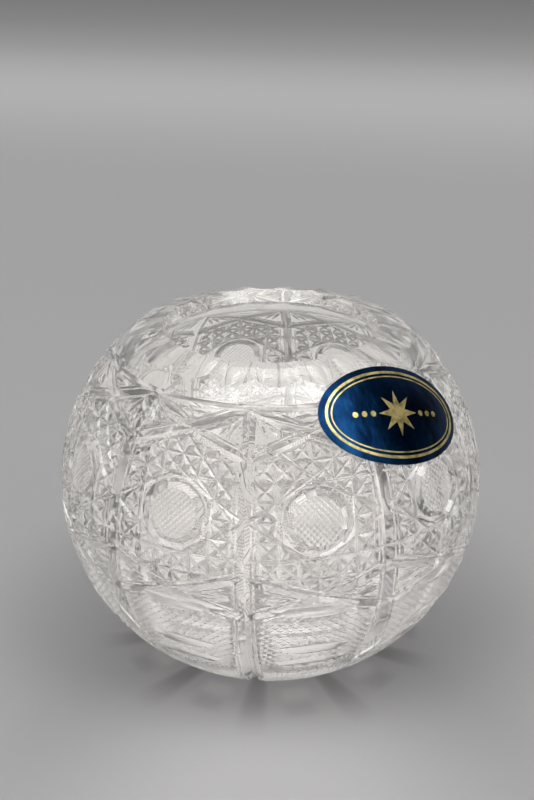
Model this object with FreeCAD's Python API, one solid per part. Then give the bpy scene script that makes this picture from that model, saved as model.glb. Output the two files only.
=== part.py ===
import FreeCAD, Part
import math
import os

from FreeCAD import Vector

# A round cut-crystal rose bowl with an oval foil label, in millimetres.
# The origin is the middle of the foot, +Z is up, and a long upright cut faces -Y.

# Sizes of the bowl before cutting
body_diameter = 120.0
body_height = 98.5
widest_height = 51.5
shoulder_diameter = 69.6
foot_diameter = 53.2
foot_bevel = 1.0
mouth_diameter = 53.4
lip_width = 3.1
wall_thickness = 7.0
base_thickness = 12.0
cavity_corner_radius = 14.0

# Sizes of the hollow under the foot
foot_ring_width = 6.0
foot_hollow_depth = 1.2

# Sizes of the flutes round the mouth
flute_radius = 21.0
flute_length = 9.2
flute_drop = 2.6
flute_edge_sink = 0.5

# Sizes of the cuts
upright_width = 3.4
upright_depth = 1.5
collar_ring_width = 2.0
collar_ring_depth = 0.8
cross_width = 2.4
cross_depth = 1.0
roundel_diameter = 15.4
roundel_width = 2.5
roundel_depth = 1.1
lace_width = 1.3
lace_depth = 0.5
lace_gap = 0.5
lace_upright_length = 25.0
olive_length = 16.0
olive_depth = 1.0
olive_cut_radius = 3.0
base_ray_width = 2.4
base_ray_depth = 0.9
base_ray_start = 2.5

# Sizes of the label
label_length = 43.4
label_width = 26.2
label_clearance = 0.05
adhesive_thickness = 0.10
foil_thickness = 0.20
print_thickness = 0.08
border_inset = 1.5
border_width = 0.7
fine_line_gap = 0.7
fine_line_width = 0.35
star_diameter = 12.0
bead_diameter = 1.5
bead_pitch = 2.5
star_to_bead_gap = 1.6

# Overruns and tolerance of the cutters
cut_overrun = 2.0
end_overlap = 0.5
tolerance = 0.0001

# Counts
panel_count = 10
flutes_per_panel = 2
roundel_facets = 16
base_rays_per_panel = 2
star_points = 8
beads_per_side = 3

# Places on the wall, as shares of the height above the widest ring
collar_ring_share = 0.855
cross_foot_share = 0.640
roundel_share = 0.353
waist_cross_top_share = 0.051

# Places on the wall, as shares of the height below the widest ring
waist_cross_foot_share = 0.192
olive_row_shares = (0.150, 0.420, 0.545)
upright_foot_share = 0.96

# The label's place: its angle round the axis, its height above the widest ring and its turn
label_angle = 48.3
label_height_share = 0.755
label_turn = -16.5

# Shares of the sizes that they follow
star_waist_share = 0.42
lace_slant_share = 0.50

# Values worked out from the sizes above
body_radius = body_diameter / 2
shoulder_radius = shoulder_diameter / 2
foot_radius = foot_diameter / 2
mouth_radius = mouth_diameter / 2
lip_radius = mouth_radius + lip_width
upper_height = body_height - widest_height
panel_angle = 360 / panel_count
half_panel = panel_angle / 2
foil_seat = label_clearance + adhesive_thickness
print_seat = foil_seat + foil_thickness


def arc_centre(end_radius, rise):
    """Distance from the axis to the centre of a wall arc that leaves the widest ring upright and
    reaches end_radius after a rise."""
    return (body_radius**2 - end_radius**2 - rise**2) / (2 * (body_radius - end_radius))


upper_centre = arc_centre(shoulder_radius, upper_height)
lower_centre = arc_centre(foot_radius, widest_height)
upper_arc = body_radius - upper_centre
lower_arc = body_radius - lower_centre


def above(share):
    """Height at a share of the upper wall."""
    return widest_height + share * upper_height


def below(share):
    """Height at a share of the lower wall."""
    return widest_height - share * widest_height


def outward(angle):
    """Level direction at an angle round the axis, counted from -Y towards +X."""
    turn = math.radians(angle)
    return Vector(math.sin(turn), -math.cos(turn), 0)


def wall_arc(height):
    """Centre distance and radius of the wall arc at a height."""
    if height >= widest_height:
        return upper_centre, upper_arc
    return lower_centre, lower_arc


def wall_lift(height):
    """Angle of the wall's normal above the level at a height, in radians."""
    return math.asin((height - widest_height) / wall_arc(height)[1])


def wall_point(angle, height, sink=0.0):
    """Point on the uncut wall, or under it by sink."""
    centre, radius = wall_arc(height)
    lift = wall_lift(height)
    along = outward(angle) * (centre + (radius - sink) * math.cos(lift))
    return along + Vector(0, 0, widest_height + (radius - sink) * math.sin(lift))


def wall_normal(angle, height):
    """Direction straight out of the wall."""
    lift = wall_lift(height)
    return outward(angle) * math.cos(lift) + Vector(0, 0, math.sin(lift))


def polygon_face(points):
    """Flat face inside a closed run of points."""
    return Part.Face(Part.makePolygon(points + [points[0]]))


def vee_face(edge_point, opening, side, width, depth):
    """Triangle of a V cutter: its point is edge_point, and it is width wide at depth above that."""
    rise = depth + cut_overrun
    half = side * (width / 2 * rise / depth)
    return polygon_face([edge_point, edge_point + opening * rise + half, edge_point + opening * rise - half])


def groove(start, middle, end, opening, width, depth, extend=0.0):
    """V cutter whose edge runs on the arc through three points and that opens towards opening.
    extend lengthens both of its ends."""
    edge = Part.Arc(start, middle, end).toShape()
    arc = edge.Curve
    radial = (start - arc.Center).normalize()
    if radial.dot(opening) < 0:
        radial = radial * -1
    face = vee_face(start, radial, arc.Axis, width, depth)
    more = math.degrees(extend / arc.Radius)
    face.rotate(arc.Center, arc.Axis, -more)
    return face.revolve(arc.Center, arc.Axis, math.degrees(edge.Length / arc.Radius) + 2 * more)


def wall_groove(angle_a, height_a, angle_b, height_b, width, depth, extend=0.0):
    """A V cut of even depth along the wall between two of its points."""
    return groove(
        wall_point(angle_a, height_a, depth),
        wall_point((angle_a + angle_b) / 2, (height_a + height_b) / 2, depth),
        wall_point(angle_b, height_b, depth),
        wall_normal(angle_a, height_a),
        width,
        depth,
        extend,
    )


def level_groove(height, width, depth):
    """A V cut along the wall at one height, right across a panel."""
    normal = wall_normal(-half_panel, height)
    along = normal.cross(outward(-half_panel + 90))
    face = vee_face(wall_point(-half_panel, height, depth), normal, along, width, depth)
    return face.revolve(Vector(0, 0, 0), Vector(0, 0, 1), 2 * panel_angle)


def plan(radius, height):
    """Point of the section through -Y."""
    return Vector(0, -radius, height)


def line(a, b):
    """Straight edge."""
    return Part.LineSegment(a, b).toShape()


def wall_edge(centre, radius, from_lift, to_lift):
    """Edge of the section along a wall arc, between two lifts in radians."""
    points = []
    for lift in (from_lift, (from_lift + to_lift) / 2, to_lift):
        points.append(plan(centre + radius * math.cos(lift), widest_height + radius * math.sin(lift)))
    return Part.Arc(*points).toShape()


def section():
    """Outline of the bowl's wall, base and lip on one side of the axis."""
    inner_upper = upper_arc - wall_thickness
    inner_lower = lower_arc - wall_thickness
    top_lift = math.asin(upper_height / upper_arc)
    mouth_lift = math.acos((mouth_radius - upper_centre) / inner_upper)
    mouth_height = widest_height + inner_upper * math.sin(mouth_lift)
    bevel_lift = -math.asin((widest_height - foot_bevel) / lower_arc)
    bevel_radius = lower_centre + lower_arc * math.cos(bevel_lift)
    foot_edge = plan(bevel_radius, foot_bevel)
    foot_outer = plan(bevel_radius - foot_bevel, 0)
    hollow_radius = foot_radius - foot_ring_width
    hollow_edge = plan(hollow_radius, foot_hollow_depth)
    foot_inner = plan(hollow_radius + foot_hollow_depth, 0)

    # The round corner between the cavity's floor and its wall
    corner = cavity_corner_radius
    corner_height = base_thickness + corner
    reach = math.sqrt((inner_lower - corner) ** 2 - (widest_height - corner_height) ** 2)
    touch_lift = -math.acos(reach / (inner_lower - corner))
    middle_lift = (touch_lift - math.pi / 2) / 2
    floor_point = plan(lower_centre + reach, base_thickness)
    corner_middle = floor_point + plan(
        corner * math.cos(middle_lift),
        corner + corner * math.sin(middle_lift),
    )
    corner_touch = floor_point + plan(
        corner * math.cos(touch_lift),
        corner + corner * math.sin(touch_lift),
    )
    return [
        line(plan(0, foot_hollow_depth), hollow_edge),
        line(hollow_edge, foot_inner),
        line(foot_inner, foot_outer),
        line(foot_outer, foot_edge),
        wall_edge(lower_centre, lower_arc, bevel_lift, 0),
        wall_edge(upper_centre, upper_arc, 0, top_lift),
        line(plan(shoulder_radius, body_height), plan(lip_radius, body_height)),
        line(plan(lip_radius, body_height), plan(mouth_radius, mouth_height)),
        wall_edge(upper_centre, inner_upper, mouth_lift, 0),
        wall_edge(lower_centre, inner_lower, 0, touch_lift),
        Part.Arc(corner_touch, corner_middle, floor_point).toShape(),
        line(floor_point, plan(0, base_thickness)),
        line(plan(0, base_thickness), plan(0, foot_hollow_depth)),
    ]


def neck_flutes():
    """Round-bottomed flutes that fall from the lip over the shoulder."""
    cutters = []
    pitch = panel_angle / flutes_per_panel
    lip_level = Vector(0, 0, body_height - flute_edge_sink)
    for k in range(flutes_per_panel):
        way = outward((k + 0.5) * pitch)
        inner = way * lip_radius + lip_level
        outer = way * (lip_radius + flute_length) + lip_level - Vector(0, 0, flute_drop)
        length = (outer - inner).Length
        run = (outer - inner).normalize()
        up = run.cross(Vector(0, 0, 1).cross(run)).normalize()
        start = inner - run * (lip_width + cut_overrun) + up * flute_radius
        cutters.append(Part.makeCylinder(flute_radius, length + lip_width + cut_overrun * 4, start, run))
    return cutters


def uprights():
    """The long upright cuts at both sides of a panel."""
    cutters = []
    top = above(collar_ring_share)
    foot = below(upright_foot_share)
    for angle in (0, panel_angle):
        cutters.append(wall_groove(angle, widest_height, angle, top, upright_width, upright_depth))
        cutters.append(wall_groove(angle, foot, angle, widest_height, upright_width, upright_depth))
    return cutters


def crossed(top, foot):
    """The two cuts that cross in a panel, between its uprights at two heights."""
    return [
        wall_groove(0, top, panel_angle, foot, cross_width, cross_depth, end_overlap),
        wall_groove(0, foot, panel_angle, top, cross_width, cross_depth, end_overlap),
    ]


def roundel():
    """The ring of straight V cuts in the middle of a panel, whose slopes are two rows of facets."""
    height = above(roundel_share)
    normal = wall_normal(half_panel, height)
    across = outward(half_panel + 90)
    up = normal.cross(across)
    radius = roundel_diameter / 2
    sag = upper_arc - math.sqrt(upper_arc**2 - radius**2)
    rise = roundel_depth + cut_overrun
    spread = roundel_width / 2 * rise / roundel_depth
    foot = wall_point(half_panel, height, roundel_depth + sag)

    def ring(centre, reach):
        """Closed outline with a corner for each facet."""
        corners = []
        for k in range(roundel_facets + 1):
            turn = 2 * math.pi * k / roundel_facets
            corners.append(centre + across * (reach * math.cos(turn)) + up * (reach * math.sin(turn)))
        return Part.makePolygon(corners)

    low = ring(foot, radius)
    wide = Part.makeLoft([low, ring(foot + normal * rise, radius + spread)], True, True)
    core = Part.makeLoft([low, ring(foot + normal * rise, radius - spread)], True, True)
    return wide.cut(core)


def lace():
    """Fine straight cuts that frame the ring: two upright, two level, and four that slant from the
    uprights past the ring, just clear of it, and cross over and under it."""
    cutters = []
    reach = roundel_diameter / 2 + roundel_width / 2 + lace_gap
    middle_lift = wall_lift(above(roundel_share))

    def place(across, up):
        """Angle and height of a point, from its distances along the wall from the ring's middle."""
        lift = middle_lift + up / upper_arc
        radius = upper_centre + upper_arc * math.cos(lift)
        return half_panel + math.degrees(across / radius), widest_height + upper_arc * math.sin(lift)

    half_width = math.radians(half_panel) * (upper_centre + upper_arc * math.cos(middle_lift))
    slope = math.tan(math.asin(reach / half_width))
    run = half_width * lace_slant_share
    for side in (-1, 1):
        angle = place(side * reach, 0)[0]
        foot = place(0, -lace_upright_length / 2)[1]
        top = place(0, lace_upright_length / 2)[1]
        cutters.append(wall_groove(angle, foot, angle, top, lace_width, lace_depth))
        cutters.append(level_groove(place(0, side * reach)[1], lace_width, lace_depth))
        for rise in (-1, 1):
            start = place(-side * half_width, 0)
            end = place(side * run, rise * slope * (half_width + run))
            cutters.append(wall_groove(*start, *end, lace_width, lace_depth))
    return cutters


def olives():
    """Long level hollows with round bottoms, one over the other."""
    cutters = []
    across = outward(half_panel + 90)
    for share in olive_row_shares:
        height = below(share)
        normal = wall_normal(half_panel, height)
        middle = wall_point(half_panel, height, olive_depth) + normal * olive_cut_radius
        start = middle - across * (olive_length / 2 + cut_overrun)
        cutters.append(Part.makeCylinder(olive_cut_radius, olive_length + 2 * cut_overrun, start, across))
    return cutters


def base_rays():
    """Pointed cuts of the star in the hollow under the foot."""
    cutters = []
    pitch = panel_angle / base_rays_per_panel
    level = Vector(0, 0, foot_hollow_depth)
    for k in range(base_rays_per_panel + 1):
        way = outward(k * pitch)
        start = way * base_ray_start + level
        end = way * (foot_radius - foot_ring_width) + level
        middle = (start + end) / 2 + Vector(0, 0, base_ray_depth)
        down = Vector(0, 0, -1)
        cutters.append(groove(start, middle, end, down, base_ray_width, base_ray_depth, end_overlap))
    return cutters


def is_panel_side(face):
    """Whether a face lies in one of the two upright planes that bound a panel."""
    if not isinstance(face.Surface, Part.Plane):
        return False
    for angle in (0, panel_angle):
        normal = outward(angle + 90)
        square = abs(face.Surface.Axis.dot(normal)) > 1 - tolerance
        if square and abs(face.CenterOfMass.dot(normal)) < tolerance:
            return True
    return False


def make_bowl():
    """The cut bowl: one panel is cut, its outside is repeated round the axis and closed."""
    axis = Vector(0, 0, 1)
    panel = Part.Face(Part.Wire(section())).revolve(Vector(0, 0, 0), axis, panel_angle)
    cutters = neck_flutes() + uprights()
    cutters.append(level_groove(above(collar_ring_share), collar_ring_width, collar_ring_depth))
    cutters += crossed(above(collar_ring_share), above(cross_foot_share))
    cutters += crossed(above(waist_cross_top_share), below(waist_cross_foot_share))
    cutters.append(roundel())
    cutters += lace() + olives() + base_rays()
    for cutter in cutters:
        panel = panel.cut([cutter], tolerance)
    outside = [face for face in panel.Faces if not is_panel_side(face)]
    faces = []
    for k in range(panel_count):
        for face in outside:
            turned = face.copy()
            turned.rotate(Vector(0, 0, 0), axis, k * panel_angle)
            faces.append(turned)
    skin = Part.makeCompound(faces)
    skin.sewShape()
    return Part.makeSolid(skin.Shells[0])


# The label is cut from thin layers over the wall by upright walls square to its middle
label_height = above(label_height_share)
label_middle = wall_point(label_angle, label_height)
label_normal = wall_normal(label_angle, label_height)
level_way = outward(label_angle + 90)
rise_way = label_normal.cross(level_way)
label_cos = math.cos(math.radians(label_turn))
label_sin = math.sin(math.radians(label_turn))
length_way = level_way * label_cos + rise_way * label_sin
width_way = rise_way * label_cos - level_way * label_sin


def layer(seat, thickness):
    """Layer over the wall round the label's place, from seat to seat plus thickness."""
    lift = wall_lift(label_height)
    span = label_length / upper_arc
    inner = upper_arc + seat
    outer = inner + thickness
    low = max(lift - span, 0)
    high = lift + span
    edges = [
        wall_edge(upper_centre, inner, low, high),
        line(
            plan(upper_centre + inner * math.cos(high), widest_height + inner * math.sin(high)),
            plan(upper_centre + outer * math.cos(high), widest_height + outer * math.sin(high)),
        ),
        wall_edge(upper_centre, outer, high, low),
        line(
            plan(upper_centre + outer * math.cos(low), widest_height + outer * math.sin(low)),
            plan(upper_centre + inner * math.cos(low), widest_height + inner * math.sin(low)),
        ),
    ]
    turn = math.degrees(label_length / (upper_centre + upper_arc * math.cos(lift)))
    face = Part.Face(Part.Wire(edges))
    face.rotate(Vector(0, 0, 0), Vector(0, 0, 1), label_angle - turn)
    return face.revolve(Vector(0, 0, 0), Vector(0, 0, 1), 2 * turn)


def label_spot(along, up):
    """Point of the flat drawing of the label, below the wall."""
    base = label_middle - label_normal * label_length / 2
    return base + length_way * along + width_way * up


def oval_prism(inset):
    """Prism square to the label's middle, whose outline is the label's drawn in by inset."""
    half_length = label_length / 2 - inset
    half_width = label_width / 2 - inset
    curve = Part.Ellipse(
        label_spot(half_length, 0),
        label_spot(0, half_width),
        label_spot(0, 0),
    )
    return Part.Face(Part.Wire(curve.toShape())).extrude(label_normal * label_length)


def oval_ring(inset, width):
    """Oval line of the label's print."""
    return oval_prism(inset).cut(oval_prism(inset + width))


def star_prism():
    """Prism of the label's many-pointed star."""
    points = []
    for k in range(2 * star_points):
        reach = star_diameter / 2
        if k % 2 == 1:
            reach = reach * star_waist_share
        turn = math.pi * k / star_points
        points.append(label_spot(reach * math.cos(turn), reach * math.sin(turn)))
    return polygon_face(points).extrude(label_normal * label_length)


def bead_prisms():
    """Round beads in a row on both sides of the star."""
    prisms = []
    for side in (-1, 1):
        for k in range(beads_per_side):
            along = side * (star_diameter / 2 + star_to_bead_gap + bead_pitch * k)
            foot = label_spot(along, 0)
            prisms.append(Part.makeCylinder(bead_diameter / 2, label_length, foot, label_normal))
    return prisms


def on_label(seat, thickness, prisms):
    """The parts of a layer that lie inside the prisms."""
    sheet = layer(seat, thickness)
    pieces = []
    for prism in prisms:
        pieces += sheet.common(prism).Solids
    return Part.makeCompound(pieces) if len(pieces) > 1 else pieces[0]


def export(name, shape):
    """Writes one node and prints its size."""
    shape.exportStep("parts/" + name + ".step")
    print(name, "valid", shape.isValid(), "solids", len(shape.Solids), "volume", round(shape.Volume, 3))


def main():
    os.makedirs("parts", exist_ok=True)
    export("crystal_bowl", make_bowl())
    export("label_adhesive", on_label(label_clearance, adhesive_thickness, [oval_prism(0)]))
    export("label_foil", on_label(foil_seat, foil_thickness, [oval_prism(0)]))
    fine_inset = border_inset + border_width + fine_line_gap
    lines = [oval_ring(border_inset, border_width), oval_ring(fine_inset, fine_line_width)]
    export("label_gold_lines", on_label(print_seat, print_thickness, lines))
    export("label_gold_star", on_label(print_seat, print_thickness, [star_prism()] + bead_prisms()))


main()
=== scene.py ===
import logging
import math
from collections.abc import Callable
from dataclasses import dataclass
from enum import Enum

import bmesh
import bpy
import numpy as np
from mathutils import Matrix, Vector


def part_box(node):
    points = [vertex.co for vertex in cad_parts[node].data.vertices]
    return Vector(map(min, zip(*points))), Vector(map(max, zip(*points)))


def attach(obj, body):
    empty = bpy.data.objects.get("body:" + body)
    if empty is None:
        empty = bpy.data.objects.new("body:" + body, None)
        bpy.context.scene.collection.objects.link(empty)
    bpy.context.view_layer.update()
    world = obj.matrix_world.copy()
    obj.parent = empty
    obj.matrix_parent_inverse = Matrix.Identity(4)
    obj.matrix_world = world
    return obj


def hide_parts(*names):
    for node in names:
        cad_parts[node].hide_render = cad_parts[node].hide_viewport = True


# A round cut-crystal rose bowl with an oval foil label. Lengths are in millimetres and angles in
# degrees. An angle round the axis counts from -Y towards +X, and a rise is the distance along the
# wall from its widest ring, upwards.

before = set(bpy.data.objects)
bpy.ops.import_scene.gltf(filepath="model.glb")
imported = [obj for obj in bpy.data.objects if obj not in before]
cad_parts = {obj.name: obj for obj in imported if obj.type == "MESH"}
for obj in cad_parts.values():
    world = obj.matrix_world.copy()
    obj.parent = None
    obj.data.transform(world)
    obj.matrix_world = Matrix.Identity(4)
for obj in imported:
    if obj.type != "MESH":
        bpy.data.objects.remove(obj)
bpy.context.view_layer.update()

LOG = logging.getLogger("rose_bowl")

# Metres in a millimetre, and cubic centimetres in a cubic metre
MM = 0.001
CUBIC_CM = 1e6

Array = np.ndarray
Spot = tuple[float, float]
Solid = tuple[Array, list[tuple[int, ...]]]
Field = Callable[[Array, Array], Array]
Socket = bpy.types.NodeSocket
Colour = tuple[float, float, float]

# Noise that isn't stretched, and the detail of fine noise
EVEN = (1.0, 1.0, 1.0)
FINE = 2.0

# Where a cut runs out, its edge ends over the glass, by this share of how far its solid stands out
END_SHARE = 0.8


class Slot(Enum):
    """Material slots of the record, each with one finish."""

    CRYSTAL = "crystal"
    GUM = "adhesive"
    FOIL = "blue_foil"
    GOLD = "gold_print"


LABEL_NODES = {
    "label_adhesive": Slot.GUM,
    "label_foil": Slot.FOIL,
    "label_gold_lines": Slot.GOLD,
    "label_gold_star": Slot.GOLD,
}


def unit(vectors: Array) -> Array:
    """Each vector divided by its length."""
    return vectors / np.linalg.norm(vectors, axis=-1, keepdims=True)


def level_way(angle: float) -> Array:
    """Level unit vector along the wall at an angle round the axis: (cos, sin, 0)."""
    return np.array([math.cos(math.radians(angle)), math.sin(math.radians(angle)), 0.0])


def outwards(points: Array, faces: list[tuple[int, ...]]) -> Solid:
    """Turns a closed solid's faces outwards: where the volume under them is negative, all turn round.

    Args:
        points: Corners of the solid.
        faces: Its faces as corner numbers, all turned the same way.

    Returns:
        The corners and the faces, turned outwards.
    """
    fans = [(f[0], f[k], f[k + 1]) for f in faces for k in range(1, len(f) - 1)]
    corners = points[np.array(fans)]
    volume = np.einsum("ij,ij->i", corners[:, 0], np.cross(corners[:, 1], corners[:, 2])).sum()
    return (points, faces) if volume > 0 else (points, [f[::-1] for f in faces])


def joined(solids: list[Solid]) -> Solid:
    """Several solids as one list of corners and one of faces.

    Args:
        solids: The solids, which stay separate prisms.

    Returns:
        All their corners, and their faces numbered anew.
    """
    points = np.concatenate([s[0] for s in solids])
    starts = np.cumsum([0] + [len(s[0]) for s in solids[:-1]])
    faces = [tuple(i + int(start) for i in f) for s, start in zip(solids, starts) for f in s[1]]
    return points, faces


def tube(rings: Array) -> Solid:
    """A closed solid from rings of corners along a path: quads between the rings and flat ends.

    Args:
        rings: Corners, counted as ring, corner, coordinate.

    Returns:
        The corners and the outward faces.
    """
    count, sides = rings.shape[:2]
    number = np.arange(count * sides).reshape(count, sides)
    ahead = np.roll(number, -1, axis=1)
    quads = np.stack([number[:-1], ahead[:-1], ahead[1:], number[1:]], axis=-1).reshape(-1, 4)
    faces = [tuple(f) for f in quads.tolist()]
    faces.append(tuple(number[0, ::-1].tolist()))
    faces.append(tuple(number[-1].tolist()))
    return outwards(rings.reshape(-1, 3), faces)


def mesh_object(name: str, solid: Solid) -> bpy.types.Object:
    """Makes an object at the origin from a solid.

    Args:
        name: The object's name.
        solid: Corners in millimetres, and faces.

    Returns:
        The object, linked to the scene.
    """
    mesh = bpy.data.meshes.new(name)
    mesh.from_pydata((solid[0] * MM).tolist(), [], solid[1])
    mesh.update()
    thing = bpy.data.objects.new(name, mesh)
    bpy.context.scene.collection.objects.link(thing)
    return thing


@dataclass(frozen=True)
class Wall:
    """The uncut outside of the bowl: two arcs that meet, upright, at the widest ring."""

    body_radius: float
    body_height: float
    widest_height: float = 51.5
    shoulder_radius: float = 34.8
    foot_radius: float = 26.6

    def arc(self, end_radius: float, rise: float) -> Spot:
        """The arc that leaves the widest ring upright and goes through a point further on.

        The centre is level with the widest ring, as far from it as from the point.

        Args:
            end_radius: The point's distance from the axis.
            rise: Its height over or under the widest ring.

        Returns:
            The arc centre's distance from the axis, and the arc's radius.
        """
        spread = self.body_radius**2 - end_radius**2 - rise**2
        centre = spread / (2 * (self.body_radius - end_radius))
        return centre, self.body_radius - centre

    @property
    def upper(self) -> Spot:
        """Centre distance and radius of the upper arc."""
        return self.arc(self.shoulder_radius, self.body_height - self.widest_height)

    @property
    def lower(self) -> Spot:
        """Centre distance and radius of the lower arc."""
        return self.arc(self.foot_radius, self.widest_height)

    def frame_at(self, rise: Array) -> tuple[Array, Array, Array]:
        """The arc that a rise lies on, and the lift, which is the rise over the arc's radius.

        Args:
            rise: Distances along the wall from the widest ring.

        Returns:
            The arc centre's distance from the axis, the arc's radius, and the lift in radians.
        """
        centre = np.where(rise >= 0, self.upper[0], self.lower[0])
        radius = np.where(rise >= 0, self.upper[1], self.lower[1])
        return centre, radius, rise / radius

    def girth_radius(self, rise: Array) -> Array:
        """Distance of the wall from the axis at a rise: centre + radius * cos(lift)."""
        centre, radius, lift = self.frame_at(rise)
        return centre + radius * np.cos(lift)

    def point(self, angle: Array, rise: Array, sink: Array = 0.0) -> Array:
        """Points under the wall.

        The distance from the axis is centre + (radius - sink) * cos(lift), and the height over the
        widest ring is (radius - sink) * sin(lift).

        Args:
            angle: Angles round the axis in degrees.
            rise: Distances along the wall from the widest ring.
            sink: Depths under the wall.

        Returns:
            The points, with the coordinate as the last index.
        """
        angle, rise, sink = np.broadcast_arrays(angle, rise, sink)
        centre, radius, lift = self.frame_at(rise)
        reach = centre + (radius - sink) * np.cos(lift)
        height = self.widest_height + (radius - sink) * np.sin(lift)
        turn = np.radians(angle)
        return np.stack([reach * np.sin(turn), -reach * np.cos(turn), height], axis=-1)

    def normal(self, angle: Array, rise: Array) -> Array:
        """Unit vectors straight out of the wall."""
        return self.point(angle, rise, -1.0) - self.point(angle, rise, 0.0)


@dataclass(frozen=True)
class Path:
    """A line on the wall: angles round the axis and rises, one of each for every point."""

    angles: Array
    rises: Array


@dataclass(frozen=True)
class VeeTool:
    """A V-edged cutting wheel: the width that it opens at a depth, and how a cut ends.

    A pointed cut follows depth * sin(pi * t) ** ease along its path, so it runs out at both ends.
    The solid that it takes out stands over the wall by over.
    """

    width: float
    depth: float
    pointed: bool = False
    over: float = 0.25
    ease: float = 0.6

    def solid(self, wall: Wall, path: Path) -> Solid:
        """The solid that the wheel takes out along a path.

        Each ring has the edge point under the wall and two corners over it, set apart across the
        path by width / depth times their height over the edge.

        Args:
            wall: The wall that is cut.
            path: The line of the cut.

        Returns:
            The closed solid.
        """
        share = np.linspace(0.0, 1.0, len(path.angles))
        fade = np.sin(np.pi * share) ** self.ease if self.pointed else np.ones_like(share)
        clear = self.over * END_SHARE
        sink = (self.depth + clear) * fade - clear
        edge = wall.point(path.angles, path.rises, sink)
        out = wall.normal(path.angles, path.rises)
        along = unit(np.gradient(edge, axis=0))
        side = unit(np.cross(along, out))
        height = (sink + self.over)[:, None]
        spread = side * (height * (self.width / 2 / self.depth))
        top = edge + out * height
        return tube(np.stack([edge, top + spread, top - spread], axis=1))


@dataclass(frozen=True)
class Panel:
    """Flat drawing of one panel: distances across and along the wall from its middle line."""

    wall: Wall
    half_angle: float
    step: float = 4.5

    def count(self, length: float) -> int:
        """How many points a cut of a length gets."""
        return max(3, int(math.ceil(length / self.step)) + 1)

    def drawn(self, start: Spot, end: Spot, count: int = 0) -> Path:
        """A line that is straight on the flat drawing, between two spots (across, rise).

        The angle is half_angle plus across over the wall's distance from the axis.

        Args:
            start: First spot.
            end: Last spot.
            count: How many points, or 0 for as many as the length needs.

        Returns:
            The path on the wall.
        """
        length = math.hypot(end[0] - start[0], end[1] - start[1])
        share = np.linspace(0.0, 1.0, count or self.count(length))
        across = start[0] + (end[0] - start[0]) * share
        rise = start[1] + (end[1] - start[1]) * share
        return Path(self.half_angle + np.degrees(across / self.wall.girth_radius(rise)), rise)

    def turned(self, start: Spot, end: Spot) -> Path:
        """A line between two spots (angle, rise), with even steps in both.

        Args:
            start: First spot.
            end: Last spot.

        Returns:
            The path on the wall.
        """
        radius = float(self.wall.girth_radius(np.array((start[1] + end[1]) / 2)))
        length = math.hypot(math.radians(end[0] - start[0]) * radius, end[1] - start[1])
        share = np.linspace(0.0, 1.0, self.count(length))
        return Path(start[0] + (end[0] - start[0]) * share, start[1] + (end[1] - start[1]) * share)

    def beside(self, offset: float, start: float, end: float) -> Path:
        """A line that keeps a distance from the upright cut, between two rises."""
        rises = np.linspace(start, end, self.count(abs(end - start)))
        return Path(np.degrees(offset / self.wall.girth_radius(rises)), rises)

    def edge(self, rise: Array) -> Array:
        """Distance from the middle line to the upright cut beside it, at a rise."""
        return math.radians(self.half_angle) * self.wall.girth_radius(rise)

    def half_width(self, rise: float) -> float:
        """Distance from the middle line to the upright cut beside it, as a number."""
        return float(self.edge(np.array(rise)))


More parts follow.
